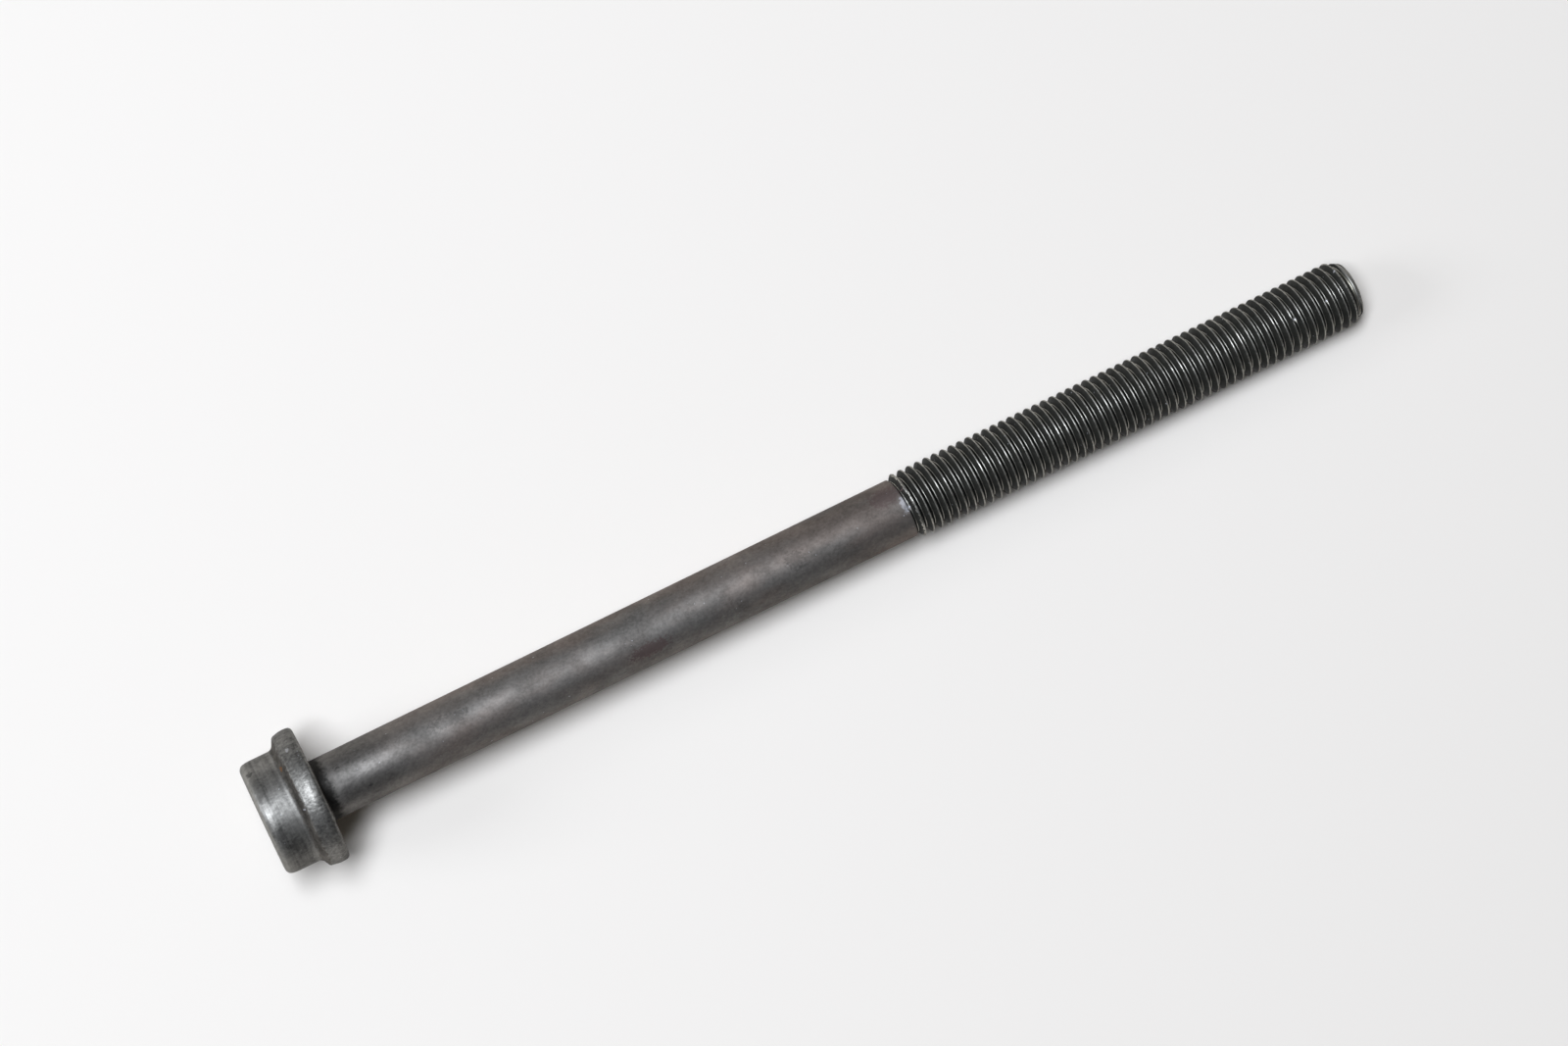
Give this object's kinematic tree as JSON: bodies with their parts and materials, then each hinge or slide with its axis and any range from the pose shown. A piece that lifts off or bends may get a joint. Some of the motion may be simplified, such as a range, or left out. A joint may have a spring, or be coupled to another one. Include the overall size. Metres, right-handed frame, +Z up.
{
  "type": "cylinder head bolt",
  "caption": "Long cylinder head bolt lying on its side: round cap with a lobed drive socket on a thick round flange, plain shank and fine metric thread.",
  "frame": {"origin": "centre of the bolt's box on the plane that it lies on, z = 0", "axes": "+X along the bolt from the head to the tip, with the bolt's own axis dipping 1.77 degrees towards the tip because the flange is wider than the thread; +Z up"},
  "size_m": [0.191, 0.022, 0.0221],
  "materials": {
    "steel": "dark phosphate, oiled, with light handling wear"
  },
  "bodies": {
    "root": {"bolt": "steel"}
  },
  "joints": []
}
